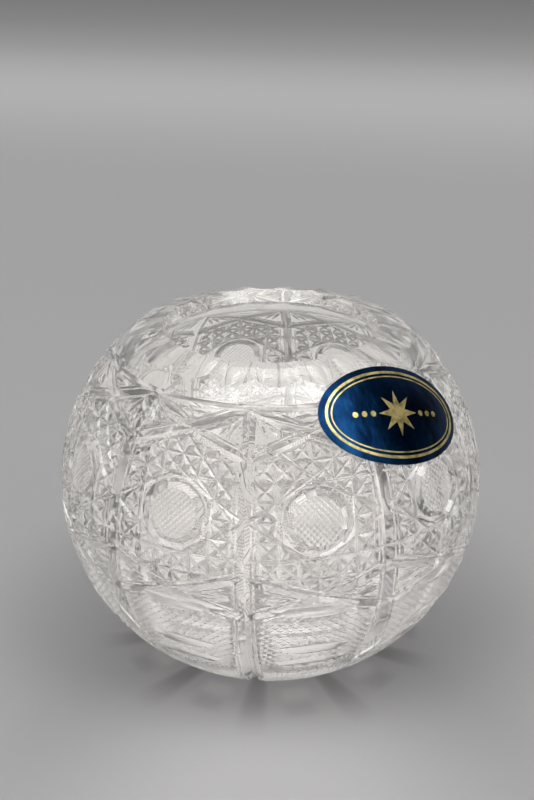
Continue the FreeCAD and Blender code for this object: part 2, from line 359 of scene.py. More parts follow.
@dataclass
class CrystalBowl:
    """The bowl: one thick-walled piece of crystal with its flutes, cuts, nets and foot star."""

    wall: Wall
    wall_thickness: float = 7.0
    base_thickness: float = 12.0
    corner_radius: float = 14.0
    mouth_radius: float = 26.7
    lip_width: float = 3.1
    foot_bevel: float = 1.0
    foot_ring_width: float = 6.0
    foot_hollow_depth: float = 1.2
    outer_points: int = 16
    inner_upper_points: int = 18
    inner_lower_points: int = 12
    corner_points: int = 8
    floor_points: int = 5

    # Half a panel is cut as a wedge, which is made wider by an angle and then trimmed. The lace and
    # the nets run a little past the middle line
    panels: int = 10
    columns: int = 5
    margin_angle: float = 0.6
    past_middle: float = 0.72

    # The wheels: the width that each opens at its depth
    mitre_wheel: VeeTool = VeeTool(width=3.4, depth=1.5)
    cross_wheel: VeeTool = VeeTool(width=2.4, depth=1.0)
    ring_wheel: VeeTool = VeeTool(width=2.0, depth=0.8)
    frame_wheel: VeeTool = VeeTool(width=1.3, depth=0.5)
    ray_wheel: VeeTool = VeeTool(width=1.3, depth=0.55, pointed=True)
    line_wheel: VeeTool = VeeTool(width=0.75, depth=0.35, over=0.15)
    lace_wheel: VeeTool = VeeTool(width=1.35, depth=0.5, over=0.15)
    net_wheel: VeeTool = VeeTool(width=1.7, depth=0.46, over=0.12)
    disc_wheel: VeeTool = VeeTool(width=1.15, depth=0.17, over=0.08)

    # Uprights, collar ring and crossed bands, with the thin lines beside them
    collar_rise: float = 44.7
    cross_foot_rise: float = 31.6
    waist_top_rise: float = 2.4
    waist_foot_rise: float = -9.9
    upright_foot_rise: float = -60.2
    band_overrun_angle: float = 0.6
    ring_overrun_angle: float = 2.0
    line_gap: float = 0.75
    line_foot_inset: float = 3.0
    line_top_inset: float = 1.0
    inset_under_leg: float = 4.6
    inset_over_leg: float = 2.6

    # Roundel: its ring of straight cuts, its netted disc and the lines that frame it
    roundel_rise: float = 16.7
    roundel_radius: float = 7.7
    roundel_facets: int = 16
    roundel_cut_depth: float = 1.1
    roundel_cut_width: float = 2.5
    roundel_cut_over: float = 1.2
    disc_gap: float = 1.7
    disc_pitch: float = 1.15
    disc_bearings: tuple[float, ...] = (48.0, 132.0)
    frame_gap: float = 1.75
    frame_half_length: float = 12.5
    frame_share: float = 0.5

    # Fans: bearing and end of each ray, counted from a spot on the upright, and the bars under the
    # collar ring
    collar_rays: tuple[Spot, ...] = ((-38.0, 10.5), (-52.0, 10.0), (-68.0, 9.0))
    collar_ray_start: float = 2.6
    foot_rays: tuple[Spot, ...] = ((50.0, 6.0), (68.0, 5.0))
    foot_ray_start: float = 2.0
    waist_rays: tuple[Spot, ...] = ((-7.0, 12.0), (0.0, 12.0), (7.0, 12.0))
    waist_ray_start: float = 2.4
    collar_bar_drops: tuple[float, ...] = (2.3, 4.2)
    collar_bar_reach: float = 6.4
    ray_points: int = 5

    # Lace round the roundel, and the gaps that it keeps
    lace_pitch: float = 4.95
    lace_bearings: tuple[float, ...] = (0.0, 45.0, 90.0, 135.0)
    lace_start_pitches: int = 3
    lace_reach: float = 34.0
    lace_ring_gap: float = 2.6
    lace_top_gap: float = 1.9
    lace_foot_gap: float = 2.2
    lace_side_gap: float = 3.2

    # Net from the waist to the foot, and the gaps that it keeps
    net_pitch: float = 1.7
    net_bearings: tuple[float, ...] = (40.0, 140.0)
    net_middle_rise: float = -34.0
    net_foot_rise: float = -58.0
    net_reach: float = 46.0
    net_top_gap: float = 2.4
    net_side_gap: float = 3.3
    comb_samples: int = 401
    least_samples: int = 12

    # Olives
    olive_rises: tuple[float, ...] = (-7.7, -22.2, -29.4)
    olive_length: float = 16.0
    olive_depth: float = 1.0
    olive_radius: float = 3.0
    olive_overrun: float = 2.0
    olive_end_gap: float = 0.8
    olive_side_reach: float = 2.7
    olive_sides: int = 40

    # Neck flutes
    flute_radius: float = 21.0
    flute_length: float = 9.2
    flute_drop: float = 2.6
    flute_sink: float = 0.5
    flute_lead: float = 6.0
    flute_bar_length: float = 26.0
    flute_sides: int = 160

    # Star under the foot
    base_ray_start: float = 2.5
    base_ray_depth: float = 0.9
    base_ray_width: float = 2.4
    base_ray_over: float = 0.1
    base_ray_points: int = 7

    # Finish: from which angle an edge is sharp, how deep a cut goes at most, and how matt the nets,
    # the discs and the lace are ground
    sharp_angle: float = 11.0
    deepest_cut: float = 3.5
    net_matt: float = 1.0
    disc_matt: float = 0.7
    lace_matt: float = 0.3

    # Metres within which corners count as one, when a wedge is trimmed and where two meet
    trim_reach: float = 1e-7
    seam_reach: float = 2e-7

    @property
    def half_angle(self) -> float:
        """Half the angle that a panel takes up round the axis."""
        return 180.0 / self.panels

    @property
    def panel(self) -> Panel:
        """The flat drawing of a panel."""
        return Panel(self.wall, self.half_angle)

    @property
    def waist_middle(self) -> float:
        """Rise at which the two lower bands cross in the middle of a panel."""
        return (self.waist_top_rise + self.waist_foot_rise) / 2

    @property
    def disc_radius(self) -> float:
        """Radius of the netted disc inside a roundel."""
        return self.roundel_radius - self.disc_gap

    @property
    def hollow_radius(self) -> float:
        """Radius of the hollow inside the foot ring."""
        return self.wall.foot_radius - self.foot_ring_width

    # The blank

    def section(self) -> Array:
        """Outline of the wall, base and lip on one side of the axis.

        Every round stretch is an arc: centre + radius * (cos, sin) of evenly stepped lifts.

        Returns:
            Distances from the axis and heights, from the middle of the foot round to the inside.
        """
        wall = self.wall
        middle = wall.widest_height
        (upper_centre, upper_arc), (lower_centre, lower_arc) = wall.upper, wall.lower
        inner_upper = upper_arc - self.wall_thickness
        inner_lower = lower_arc - self.wall_thickness

        def arc(centre: Spot, radius: float, start: float, end: float, count: int) -> Array:
            """Points of an arc between two lifts: centre + radius * (cos, sin)."""
            lift = np.linspace(start, end, count)[:, None]
            return np.array(centre) + radius * np.concatenate([np.cos(lift), np.sin(lift)], axis=1)

        bevel_lift = -math.asin((middle - self.foot_bevel) / lower_arc)
        bevel_radius = lower_centre + lower_arc * math.cos(bevel_lift)
        top_lift = math.asin((wall.body_height - middle) / upper_arc)
        mouth_lift = math.acos((self.mouth_radius - upper_centre) / inner_upper)
        corner_height = self.base_thickness + self.corner_radius
        reach = math.sqrt((inner_lower - self.corner_radius) ** 2 - (middle - corner_height) ** 2)
        touch_lift = -math.acos(reach / (inner_lower - self.corner_radius))
        hollow, hollow_top = self.hollow_radius, self.foot_hollow_depth
        corner, floor_top = (lower_centre + reach, corner_height), self.base_thickness
        upper, lower = (upper_centre, middle), (lower_centre, middle)
        return np.concatenate(
            [
                [(0.0, hollow_top), (hollow, hollow_top)],
                [(hollow + hollow_top, 0.0), (bevel_radius - self.foot_bevel, 0.0)],
                arc(lower, lower_arc, bevel_lift, 0.0, self.outer_points)[:-1],
                arc(upper, upper_arc, 0.0, top_lift, self.outer_points),
                [(self.mouth_radius + self.lip_width, wall.body_height)],
                arc(upper, inner_upper, mouth_lift, 0.0, self.inner_upper_points)[:-1],
                arc(lower, inner_lower, 0.0, touch_lift, self.inner_lower_points)[:-1],
                arc(corner, self.corner_radius, touch_lift, -math.pi / 2, self.corner_points),
                np.linspace((corner[0], floor_top), (0.0, floor_top), self.floor_points)[1:],
            ]
        )

    def blank(self) -> Solid:
        """A wedge of the uncut bowl, a little wider than half a panel: the section carried round.

        A point at distance r goes to (r * sin(angle), -r * cos(angle)). Points on the axis are
        shared by all the columns.

        Returns:
            The closed wedge.
        """
        outline = self.section()
        angles = np.linspace(0.0, self.half_angle, self.columns + 1)
        angles = np.concatenate([[-self.margin_angle], angles, [self.half_angle + self.margin_angle]])
        turn = np.radians(angles)[:, None]
        reach, height = outline[:, 0], outline[:, 1]
        height = np.broadcast_to(height, (len(angles), len(height)))
        points = np.stack([reach * np.sin(turn), -reach * np.cos(turn), height], axis=-1)
        number = np.arange(points[..., 0].size).reshape(points.shape[:2])
        number = np.where(reach[None, :] == 0.0, number[:1], number)
        ahead = np.roll(number, -1, axis=1)
        quads = np.stack([number[:-1], number[1:], ahead[1:], ahead[:-1]], axis=-1).reshape(-1, 4)
        sides = [number[0], number[-1, ::-1]]
        faces = [tuple(dict.fromkeys(f)) for f in quads.tolist()]
        faces = [f for f in faces if len(f) > 2] + [tuple(side.tolist()) for side in sides]
        return self.compact(*outwards(points.reshape(-1, 3), faces))

    @staticmethod
    def compact(points: Array, faces: list[tuple[int, ...]]) -> Solid:
        """Drops the corners that no face uses.

        Args:
            points: Corners.
            faces: Faces as corner numbers.

        Returns:
            The used corners, and the faces numbered anew.
        """
        used = np.unique(np.concatenate([np.array(f) for f in faces]))
        place = np.full(len(points), -1)
        place[used] = np.arange(len(used))
        return points[used], [tuple(place[list(f)].tolist()) for f in faces]

    # The cuts

    def straight_cuts(self) -> list[Solid]:
        """The large cuts: uprights, collar ring, both crossed bands and their thin lines.

        Returns:
            A solid for each cut.
        """
        panel, wall = self.panel, self.wall
        full = 2 * self.half_angle
        solids = []

        def cut(tool: VeeTool, path: Path) -> None:
            """A cut along a path."""
            solids.append(tool.solid(wall, path))

        def both(tool: VeeTool, start: Spot, end: Spot) -> None:
            """A cut by (angle, rise) and its mirror image about the middle of the panel."""
            cut(tool, panel.turned(start, end))
            cut(tool, panel.turned((full - start[0], start[1]), (full - end[0], end[1])))

        def spread(tool: VeeTool, start: Spot, end: Spot) -> None:
            """A cut by (across, rise) and its mirror image about the middle of the panel."""
            cut(tool, panel.drawn(start, end))
            cut(tool, panel.drawn((-start[0], start[1]), (-end[0], end[1])))

        over, past = self.band_overrun_angle, self.ring_overrun_angle
        bands = ((self.collar_rise, self.cross_foot_rise), (self.waist_top_rise, self.waist_foot_rise))
        cut(self.mitre_wheel, panel.turned((0.0, self.upright_foot_rise), (0.0, self.collar_rise)))
        cut(self.ring_wheel, panel.turned((-past, self.collar_rise), (full / 2 + past, self.collar_rise)))
        for top, foot in bands:
            both(self.cross_wheel, (-over, top), (full + over, foot))

        # Thin lines beside the uprights and along the legs of the crossed bands
        upright_side = self.mitre_wheel.width / 2 + self.line_gap
        low = self.upright_foot_rise + self.line_foot_inset
        high = self.cross_foot_rise - self.line_top_inset
        cut(self.line_wheel, panel.beside(upright_side, low, high))
        for top, foot in bands:
            for side, inset in ((-1, self.inset_under_leg), (1, self.inset_over_leg)):
                shift = side * (self.cross_wheel.width / 2 + self.line_gap)
                fall = (top - foot) / full
                first = (inset, top + shift - fall * inset)
                last = (full - inset, foot + shift + fall * inset)
                both(self.line_wheel, first, last)

        # Lines that frame the roundel
        reach = self.roundel_radius + self.frame_gap
        middle, half = self.roundel_rise, self.frame_half_length
        width = panel.half_width(middle)
        slope = math.tan(math.asin(reach / width))
        cut(self.frame_wheel, panel.drawn((-reach, middle - half), (-reach, middle + half)))
        for side in (-1, 1):
            rise = middle + side * reach
            cut(self.frame_wheel, panel.turned((-past, rise), (full / 2 + past, rise)))
            far_rise = middle + side * slope * width * (1 + self.frame_share)
            spread(self.frame_wheel, (-width, middle), (width * self.frame_share, far_rise))
        return solids

    def fans(self) -> list[Solid]:
        """Pointed rays that fan out from the uprights, and short bars under the collar ring.

        Returns:
            A solid for each ray and bar.
        """
        panel, wall = self.panel, self.wall
        solids = []

        def ray(first: Spot, last: Spot) -> None:
            """A pointed cut between two spots (across, rise)."""
            solids.append(self.ray_wheel.solid(wall, panel.drawn(first, last, self.ray_points)))

        def fan(edge_rise: float, rise: float, start: float, rays: tuple[Spot, ...]) -> None:
            """Rays from a spot on the upright: spot + distance * (cos, sin) of the bearing.

            Args:
                edge_rise: Rise at which the spot's distance across is taken.
                rise: The spot's own rise.
                start: Distance from the spot to where each ray starts.
                rays: Bearing of each ray, and distance to where it ends.
            """
            spot = (-panel.half_width(edge_rise), rise)
            for bearing, end in rays:
                way = (math.cos(math.radians(bearing)), math.sin(math.radians(bearing)))
                ray(*[(spot[0] + way[0] * reach, spot[1] + way[1] * reach) for reach in (start, end)])

        fan(self.collar_rise, self.collar_rise, self.collar_ray_start, self.collar_rays)
        fan(self.cross_foot_rise, self.cross_foot_rise, self.foot_ray_start, self.foot_rays)
        for drop in self.collar_bar_drops:
            half, rise = self.collar_bar_reach - drop, self.collar_rise - drop
            ray((-half, rise), (half, rise))
        fan(0.0, self.waist_middle, self.waist_ray_start, self.waist_rays)
        return solids

    def in_half(self, across: Array) -> Array:
        """Whether distances across lie in the half panel that is cut, or just past its middle."""
        return across < self.past_middle

    def in_lace(self, across: Array, rise: Array) -> Array:
        """The field between the crossed bands, clear of the uprights and of the roundel.

        Args:
            across: Distances across from the middle line.
            rise: Rises.

        Returns:
            Whether each spot lies in the field.
        """
        clear = self.roundel_radius + self.lace_ring_gap
        top_slope = (self.collar_rise - self.cross_foot_rise) / self.panel.half_width(self.roundel_rise)
        waist_slope = (self.waist_top_rise - self.waist_middle) / self.panel.half_width(0.0)
        crossing = (self.collar_rise + self.cross_foot_rise) / 2
        top = crossing - self.lace_top_gap - top_slope / 2 * np.abs(across)
        foot = self.waist_middle + self.lace_foot_gap + waist_slope * np.abs(across)
        side = -self.panel.edge(rise) + self.lace_side_gap
        ring = across**2 + (rise - self.roundel_rise) ** 2 > clear**2
        return (rise < top) & (rise > foot) & (across > side) & self.in_half(across) & ring

    def in_disc(self, across: Array, rise: Array) -> Array:
        """The netted disc inside the roundel: whether each spot (across, rise) lies in it."""
        return (across**2 + (rise - self.roundel_rise) ** 2 < self.disc_radius**2) & self.in_half(across)

    def in_field(self, across: Array, rise: Array) -> Array:
        """The field under the lower bands, clear of the uprights and of the olives.

        Round each olive an ellipse stays free: (across / length)^2 + (rise / width)^2 < 1.

        Args:
            across: Distances across from the middle line.
            rise: Rises.

        Returns:
            Whether each spot lies in the field.
        """
        fall = (self.waist_middle - self.waist_foot_rise) / self.panel.half_width(self.waist_foot_rise)
        top = self.waist_middle - self.net_top_gap - fall * np.abs(across)
        side = -self.panel.edge(rise) + self.net_side_gap
        field = (rise < top) & (rise > self.net_foot_rise) & (across > side) & self.in_half(across)
        length = self.olive_length / 2 + self.olive_end_gap
        for olive in self.olive_rises:
            field &= (across / length) ** 2 + ((rise - olive) / self.olive_side_reach) ** 2 > 1
        return field

    def lace(self) -> list[Solid]:
        """The lace round the roundel: four families of even lines that meet in small stars.

        Returns:
            Two solids for each family.
        """
        solids = []
        spot = (0.0, self.roundel_rise + self.lace_pitch * self.lace_start_pitches)
        for bearing in self.lace_bearings:
            pitch = self.lace_pitch * (1.0 if bearing % 90 == 0 else math.sqrt(0.5))
            solids += self.comb(self.lace_wheel, bearing, pitch, self.in_lace, spot, self.lace_reach)
        return solids

    def comb(
        self, tool: VeeTool, bearing: float, pitch: float, inside: Field, centre: Spot, reach: float
    ) -> list[Solid]:
        """A family of even lines, clipped to a field, as two solids of every second line.

        Line k passes at k * pitch from the centre, at right angles to its bearing.

        Args:
            tool: The wheel.
            bearing: Direction of the lines on the drawing, in degrees.
            pitch: Distance from line to line.
            inside: Says for arrays of (across, rise) whether they lie in the field.
            centre: Spot that the first line passes through.
            reach: Half the length of the lines before they are clipped.

        Returns:
            The even and the odd lines, each group as one solid of separate prisms.
        """
        way = np.array([math.cos(math.radians(bearing)), math.sin(math.radians(bearing))])
        across_way = np.array([-way[1], way[0]])
        groups: list[list[Solid]] = [[], []]
        count = int(reach / pitch)
        along = np.linspace(-reach, reach, self.comb_samples)
        for k in range(-count, count + 1):
            line = np.array(centre) + across_way * (k * pitch) + along[:, None] * way
            held = np.flatnonzero(inside(line[:, 0], line[:, 1]))
            for stretch in np.split(held, np.flatnonzero(np.diff(held) > 1) + 1):
                if len(stretch) < self.least_samples:
                    continue
                path = self.panel.drawn(tuple(line[stretch[0]]), tuple(line[stretch[-1]]))
                groups[k % 2].append(tool.solid(self.wall, path))
        return [joined(group) for group in groups if group]

    def nets(self) -> list[Solid]:
        """The fine nets: the disc inside each roundel and the field from the waist to the foot.

        Returns:
            Two solids for each family of lines.
        """
        solids = []
        middle, reach = (0.0, self.roundel_rise), 2 * self.disc_radius
        for bearing in self.disc_bearings:
            solids += self.comb(self.disc_wheel, bearing, self.disc_pitch, self.in_disc, middle, reach)
        middle, reach = (0.0, self.net_middle_rise), self.net_reach
        for bearing in self.net_bearings:
            solids += self.comb(self.net_wheel, bearing, self.net_pitch, self.in_field, middle, reach)
        return solids

    def ground(self, centres: Array) -> Array:
        """How matt each face is left: the nets and the lace are ground, the rest is polished.

        A face's rise is its arc radius times the angle of its centre round the arc's middle, and
        across is its angle from the panel's middle times the wall's distance from the axis.

        Args:
            centres: Centres of the faces in millimetres.

        Returns:
            A share from 0, polished, to 1 for each face.
        """
        x, y, z = centres.T
        high = z - self.wall.widest_height
        centre = np.where(high >= 0, self.wall.upper[0], self.wall.lower[0])
        radius = np.where(high >= 0, self.wall.upper[1], self.wall.lower[1])
        reach = np.hypot(x, y) - centre
        rise = np.arctan2(high, reach) * radius
        turn = np.degrees(np.arctan2(x, -y)) % (2 * self.half_angle)
        across = -np.radians(np.abs(turn - self.half_angle)) * self.wall.girth_radius(rise)
        outside = np.hypot(high, reach) > radius - self.deepest_cut
        share = np.zeros(len(centres))
        grounds = (
            (self.in_field, self.net_matt),
            (self.in_disc, self.disc_matt),
            (self.in_lace, self.lace_matt),
        )
        for inside, matt in grounds:
            share[inside(across, rise) & outside] = matt
        return share

    def roundel(self) -> Solid:
        """The ring of straight V cuts round each disc: a band with a V section and flat sides.

        Each corner has its edge under the wall at the ring's radius and two points over it, further
        in and further out.

        Returns:
            The closed band.
        """
        radius, depth, over = self.roundel_radius, self.roundel_cut_depth, self.roundel_cut_over
        centre = self.wall.point(self.half_angle, self.roundel_rise)
        out = self.wall.normal(self.half_angle, self.roundel_rise)
        across = level_way(self.half_angle)
        up = np.cross(out, across)
        sag = self.wall.upper[1] - math.sqrt(self.wall.upper[1] ** 2 - radius**2)
        turn = np.linspace(0.0, 2 * np.pi, self.roundel_facets, endpoint=False)[:, None]
        spoke = across * np.cos(turn) + up * np.sin(turn)
        spread = self.roundel_cut_width / 2 * (depth + over) / depth
        edge = centre + spoke * radius - out * (sag + depth)
        outer = centre + spoke * (radius + spread) + out * (over - sag)
        inner = centre + spoke * (radius - spread) + out * (over - sag)
        rings = np.stack([edge, outer, inner], axis=1)
        number = np.arange(rings.shape[0] * 3).reshape(-1, 3)
        after = np.roll(number, -1, axis=0)
        sides = ((0, 1), (1, 2), (2, 0))
        quads = [np.stack([number[:, a], number[:, b], after[:, b], after[:, a]], -1) for a, b in sides]
        faces = [tuple(f) for f in np.concatenate(quads).tolist()]
        return outwards(rings.reshape(-1, 3), faces)

    def round_cuts(self) -> list[Solid]:
        """The neck flute and the olives: round bars whose undersides are the hollows.

        Returns:
            A bar for the flute, and one for each olive.
        """
        way = self.wall.normal(self.half_angle / 2, 0.0)
        lip = self.mouth_radius + self.lip_width
        inner = way * lip + np.array([0.0, 0.0, self.wall.body_height - self.flute_sink])
        outer = inner + way * self.flute_length - np.array([0.0, 0.0, self.flute_drop])
        run = unit(outer - inner)
        up = np.cross(run, unit(np.cross([0.0, 0.0, 1.0], run)))
        start = inner - run * self.flute_lead + up * self.flute_radius
        solids = [self.bar(start, run, up, self.flute_radius, self.flute_bar_length, self.flute_sides)]
        run, length = level_way(self.half_angle), self.olive_length + 2 * self.olive_overrun
        for rise in self.olive_rises:
            up = self.wall.normal(self.half_angle, rise)
            centre = self.wall.point(self.half_angle, rise, self.olive_depth - self.olive_radius)
            start = centre - run * (self.olive_length / 2 + self.olive_overrun)
            solids.append(self.bar(start, run, up, self.olive_radius, length, self.olive_sides))
        return solids

    @staticmethod
    def bar(start: Array, run: Array, up: Array, radius: float, length: float, sides: int) -> Solid:
        """A round bar: start + run * t + radius * (across * cos + up * sin).

        Args:
            start: Middle of its first end.
            run: Unit vector along it.
            up: Unit vector at right angles to it.
            radius: Its radius.
            length: Its length.
            sides: How many flat sides stand for its round.

        Returns:
            The closed bar.
        """
        across = np.cross(run, up)
        turn = np.linspace(0.0, 2 * np.pi, sides, endpoint=False)[:, None]
        circle = radius * (across * np.cos(turn) + up * np.sin(turn))
        return tube(np.stack([start + circle, start + run * length + circle]))

    def base_rays(self) -> list[Solid]:
        """V cuts of the foot star, deepest halfway: depth * sin(pi * t) over the hollow's level.

        Returns:
            A cut under an upright, and one under the middle of the panel.
        """
        solids = []
        share = np.linspace(0.0, 1.0, self.base_ray_points)[:, None]
        fade = np.sin(np.pi * share)
        depth, over = self.base_ray_depth, self.base_ray_over
        sink = depth * fade - over * END_SHARE * (1 - fade)
        spread = (sink + over) * self.base_ray_width / 2 / depth
        down = np.array([0.0, 0.0, 1.0])
        for angle in (0.0, self.half_angle):
            way = self.wall.normal(angle, 0.0)
            side = np.array([-way[1], way[0], 0.0])
            level = way * (self.base_ray_start + (self.hollow_radius - self.base_ray_start) * share)
            edge = level + down * (self.foot_hollow_depth + sink)
            low = level + down * (self.foot_hollow_depth - over)
            solids.append(tube(np.stack([edge, low + side * spread, low - side * spread], axis=1)))
        return solids

    # Putting it together

    def cut_wedge(self) -> tuple[Array, Array]:
        """Cuts the blank wedge and trims it to exactly half a panel.

        Returns:
            The corners and the triangles of its outside, open at the two trimmed sides.
        """
        wedge = mesh_object("wedge", self.blank())
        cutters = self.straight_cuts() + self.fans() + self.lace() + self.nets()
        cutters += [self.roundel()] + self.round_cuts() + self.base_rays()
        tools = []
        for number, solid in enumerate(cutters):
            tool = mesh_object(f"wheel_{number}", solid)
            step = wedge.modifiers.new(f"cut_{number}", "BOOLEAN")
            step.operation = "DIFFERENCE"
            step.solver = "MANIFOLD"
            step.object = tool
            tools.append(tool)
        graph = bpy.context.evaluated_depsgraph_get()
        cut = bpy.data.meshes.new_from_object(wedge.evaluated_get(graph))
        form = bmesh.new()
        form.from_mesh(cut)
        for angle, sign in ((0.0, -1.0), (self.half_angle, 1.0)):
            bmesh.ops.bisect_plane(
                form,
                geom=form.verts[:] + form.edges[:] + form.faces[:],
                plane_co=(0, 0, 0),
                plane_no=level_way(angle) * sign,
                dist=self.trim_reach,
                clear_outer=True,
            )
        bmesh.ops.triangulate(form, faces=form.faces[:], ngon_method="EAR_CLIP")
        form.verts.index_update()
        points = np.array([v.co[:] for v in form.verts])
        triangles = np.array([[v.index for v in f.verts] for f in form.faces])
        form.free()
        for thing in [wedge] + tools:
            mesh = thing.data
            bpy.data.objects.remove(thing)
            bpy.data.meshes.remove(mesh)
        bpy.data.meshes.remove(cut)

        # A sliver that shrinks to a line leaves two triangles on the same corners: both go
        corners = np.sort(triangles, axis=1)
        _, place, uses = np.unique(corners, axis=0, return_inverse=True, return_counts=True)
        single = triangles[uses[place.ravel()] == 1]
        points, faces = self.compact(points, [tuple(f) for f in single.tolist()])
        return points, np.array(faces)

    def build(self) -> bpy.types.Object:
        """The whole bowl: the half panel, its mirror image, and both repeated round the axis.

        The mirror image of (x, y) about the middle of the panel is (-x * cos - y * sin,
        y * cos - x * sin) of the panel's full angle, and a turned copy is (x * cos - y * sin,
        x * sin + y * cos) of its turn.

        Returns:
            The bowl's object, closed and with sharp edges where facets meet.
        """
        points, triangles = self.cut_wedge()
        full = math.radians(2 * self.half_angle)
        x, y, z = points.T
        cos, sin = math.cos(full), math.sin(full)
        mirrored = np.stack([-x * cos - y * sin, y * cos - x * sin, z], axis=-1)
        pair = np.concatenate([points, mirrored])
        pair_faces = np.concatenate([triangles, triangles[:, ::-1] + len(points)])
        turns = np.arange(self.panels)[:, None] * full
        cos, sin = np.cos(turns), np.sin(turns)
        x, y, z = pair.T
        level = np.broadcast_to(z, (self.panels, len(z)))
        spun = np.stack([x * cos - y * sin, x * sin + y * cos, level], axis=-1).reshape(-1, 3)
        starts = (np.arange(self.panels) * len(pair))[:, None, None]
        faces = (pair_faces[None] + starts).reshape(-1, 3)
        mesh = bpy.data.meshes.new("cut_crystal_bowl")
        mesh.from_pydata(spun.tolist(), [], faces.tolist())
        form = bmesh.new()
        form.from_mesh(mesh)
        # Seam corners in a fixed order, so that the same ones stay in every run
        seams = list(dict.fromkeys(v for e in form.edges if e.is_boundary for v in e.verts))
        bmesh.ops.remove_doubles(form, verts=seams, dist=self.seam_reach)
        open_edges = sum(1 for e in form.edges if not e.is_manifold)
        volume = form.calc_volume() * CUBIC_CM
        LOG.info("bowl: %d triangles, %d open edges, volume %.1f cm3", len(form.faces), open_edges, volume)
        form.to_mesh(mesh)
        form.free()
        mesh.shade_smooth()
        mesh.set_sharp_from_angle(angle=math.radians(self.sharp_angle))
        centres = np.empty(len(mesh.polygons) * 3)
        mesh.polygons.foreach_get("center", centres)
        matt = mesh.attributes.new("ground", "FLOAT", "FACE")
        matt.data.foreach_set("value", self.ground(centres.reshape(-1, 3) / MM))
        bowl = bpy.data.objects.new("cut_crystal_bowl", mesh)
        bpy.context.scene.collection.objects.link(bowl)
        return bowl

    def dress(self) -> bpy.types.Object:
        """Builds the bowl, gives it its crystal and sets it in the frame.

        Returns:
            The bowl's object.
        """
        bowl = self.build()
        bowl.data.materials.append(CrystalFinish().material())
        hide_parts("crystal_bowl")
        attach(bowl, "root")
        return bowl


class Nodes:
    """Small helper that adds shader nodes and links to a tree."""

    def __init__(self, tree: bpy.types.NodeTree) -> None:
        """Keeps the tree that the nodes go to."""
        self.tree = tree

    def add(self, kind: str, **values: str | bool) -> bpy.types.Node:
        """Adds a node.

        Args:
            kind: The node's type.
            values: Properties to set on it.

        Returns:
            The node.
        """
        node = self.tree.nodes.new(kind)
        for name, value in values.items():
            setattr(node, name, value)
        return node

    def link(self, source: Socket, target: Socket) -> None:
        """Links two sockets."""
        self.tree.links.new(source, target)

    def feed(self, node: bpy.types.Node, **values: Socket | float | tuple[float, ...]) -> None:
        """Fills inputs of a node.

        Args:
            node: The node.
            values: A socket or a constant for each input, named with _ for a space.
        """
        for name, value in values.items():
            target = node.inputs[name.replace("_", " ")]
            if isinstance(value, Socket):
                self.link(value, target)
            else:
                target.default_value = value

    def math(self, operation: str, *values: Socket | float, clamp: bool = False) -> Socket:
        """A math node.

        Args:
            operation: What it works out.
            values: Its inputs in order, each a socket or a number.
            clamp: Whether the result is kept between 0 and 1.

        Returns:
            The result.
        """
        node = self.add("ShaderNodeMath", operation=operation, use_clamp=clamp)
        for target, value in zip(node.inputs, values):
            if isinstance(value, Socket):
                self.link(value, target)
            else:
                target.default_value = value
        return node.outputs[0]

    def vector(self, operation: str, first: Socket, second: Socket | Colour = (0.0, 0.0, 0.0)) -> Socket:
        """A vector math node that gives a number: a dot product, a distance or a length.

        Args:
            operation: What it works out.
            first: The first vector.
            second: The second vector, where there is one.

        Returns:
            The number.
        """
        node = self.add("ShaderNodeVectorMath", operation=operation)
        self.link(first, node.inputs[0])
        if isinstance(second, Socket):
            self.link(second, node.inputs[1])
        else:
            node.inputs[1].default_value = second
        return node.outputs["Value"]

    def place(self) -> Socket:
        """Object coordinates."""
        return self.add("ShaderNodeTexCoord").outputs["Object"]

    def step(self, value: Socket, start: float, end: float) -> Socket:
        """A smooth step from 0 to 1.

        Args:
            value: What it follows.
            start: The value where it is 0.
            end: The value where it is 1.

        Returns:
            The step.
        """
        node = self.add("ShaderNodeMapRange", interpolation_type="SMOOTHSTEP")
        self.feed(node, Value=value, From_Min=start, From_Max=end)
        return node.outputs["Result"]

    def ring(self, radius: Socket, middle: float, reach: Spot) -> Socket:
        """A smooth ring: a step of the distance from its middle line.

        Args:
            radius: Distance from the axis.
            middle: Radius of the ring's middle line.
            reach: Distances from that line where the ring ends and where it is full.

        Returns:
            The ring, from 0 to 1.
        """
        return self.step(self.math("ABSOLUTE", self.math("SUBTRACT", radius, middle)), *reach)

    def blend(self, share: Socket, low: tuple[float, Colour], high: tuple[float, Colour]) -> Socket:
        """A colour between two.

        Args:
            share: What it follows.
            low: The share up to which the first colour stays, and that colour.
            high: The share from which the second colour stays, and that colour.

        Returns:
            The colour.
        """
        node = self.add("ShaderNodeValToRGB")
        for stop, (place, colour) in zip(node.color_ramp.elements, (low, high)):
            stop.position = place
            stop.color = (*colour, 1.0)
        self.link(share, node.inputs["Fac"])
        return node.outputs["Color"]

    def group(self, tree: bpy.types.NodeTree, **values: Socket | float | tuple[float, ...]) -> Socket:
        """Uses a node group.

        Args:
            tree: The group.
            values: Its inputs.

        Returns:
            The group's only output.
        """
        node = self.add("ShaderNodeGroup")
        node.node_tree = tree
        self.feed(node, **values)
        return node.outputs[0]


